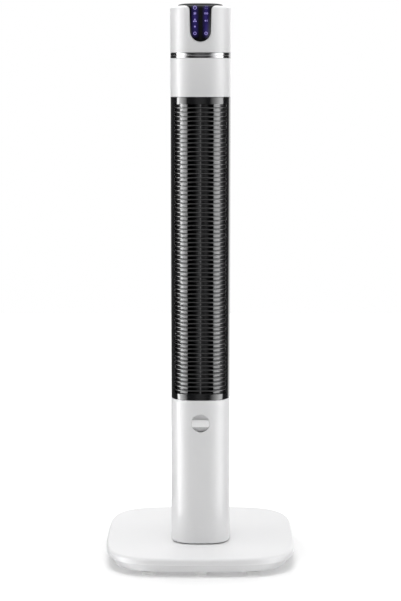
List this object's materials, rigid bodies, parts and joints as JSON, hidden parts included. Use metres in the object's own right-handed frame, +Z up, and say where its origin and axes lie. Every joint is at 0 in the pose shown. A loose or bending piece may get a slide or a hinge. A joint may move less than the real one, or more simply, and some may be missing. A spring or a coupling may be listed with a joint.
{
  "type": "tower fan",
  "caption": "Slim white tower fan on a rounded-square base: swinging column, tall cross-flow wheel behind a black slatted grille, touch-panel head.",
  "frame": {"origin": "on the floor under the middle of the base", "axes": "+Z up along the column; the front, with the grille and the touch panel, faces -Y; +X is to the right seen from the front"},
  "size_m": [0.344, 0.344, 1],
  "materials": {
    "white_gloss": "glossy moulded plastic",
    "white_satin": "satin moulded plastic",
    "black_gloss": "piano-black gloss",
    "black_satin": "fine-grained satin",
    "chrome": "bright plating",
    "steel": "plain zinc-plated sheet",
    "screw_steel": "zinc-plated",
    "zinc": "bead-blasted die casting",
    "foot_rubber": "matt pale rubber",
    "nylon": "natural nylon",
    "bronze": "sintered",
    "board": "solder mask"
  },
  "bodies": {
    "base": {"base_cover": "white_gloss", "base_pan": "white_satin", "ballast_plate": "steel", "cable_gland": "black_satin", "swivel_post": "zinc", "slide_ring": "nylon", "retaining_clip": "screw_steel", "fixed_gear": "nylon", "gear_nut": "screw_steel", "foot_front_left": "foot_rubber", "foot_front_centre": "foot_rubber", "foot_front_right": "foot_rubber", "foot_rear_left": "foot_rubber", "foot_rear_centre": "foot_rubber", "foot_rear_right": "foot_rubber", "foot_side_left": "foot_rubber", "foot_side_right": "foot_rubber", "base_screw_1": "screw_steel", "base_screw_2": "screw_steel", "base_screw_3": "screw_steel", "base_screw_4": "screw_steel", "post_screw_1": "screw_steel", "post_screw_2": "screw_steel", "post_screw_3": "screw_steel"},
    "column": {"column_foot": "black_satin", "swing_motor": "steel", "swing_motor_screw_1": "screw_steel", "swing_motor_screw_2": "screw_steel", "rear_housing": "white_gloss", "lower_front_cover": "white_gloss", "front_grille": "black_gloss", "vane_frame": "black_gloss", "upper_front_cover": "white_gloss", "chrome_ring": "chrome", "rear_screw_1": "screw_steel", "rear_screw_2": "screw_steel", "rear_screw_3": "screw_steel", "rear_screw_4": "screw_steel", "motor_plate": "black_satin", "fan_motor": "steel", "fan_motor_screw_1": "screw_steel", "fan_motor_screw_2": "screw_steel", "bearing_plate": "black_satin", "top_bush": "bronze", "scroll_plate": "black_satin", "cutoff_bar": "black_satin", "scent_pocket": "white_satin", "scent_tray": "white_satin", "head_carrier": "black_satin", "head_shell": "white_gloss", "touch_lens": "black_gloss", "display_board": "board", "control_board": "board"},
    "pinion": {"drive_pinion": "nylon", "swing_shaft": "steel"},
    "wheel": {"cross_flow_wheel": "black_satin", "motor_shaft": "steel", "wheel_pin": "steel"},
    "scent_cap": {"scent_cap": "white_gloss"}
  },
  "joints": [
    {"name": "column_swing", "type": "hinge", "parent": "base", "child": "column", "pos_m": [0, -0.032, 0.035], "axis": [0, 0, 1], "range_deg": [-40, 40]},
    {"name": "pinion_spin", "type": "hinge", "parent": "column", "child": "pinion", "pos_m": [0, 0, 0.0645], "axis": [0, 0, 1], "range_deg": [-121, 121]},
    {"name": "wheel_spin", "type": "hinge", "parent": "column", "child": "wheel", "pos_m": [0, -0.028, 0.567], "axis": [0, 0, 1], "continuous": true},
    {"name": "cap_turn", "type": "hinge", "parent": "column", "child": "scent_cap", "pos_m": [0, -0.08, 0.257], "axis": [0, 1, 0], "range_deg": [0, 90]}
  ],
  "couplings": [
    {"joint": "pinion_spin", "follows": "column_swing", "ratio": 3}
  ]
}
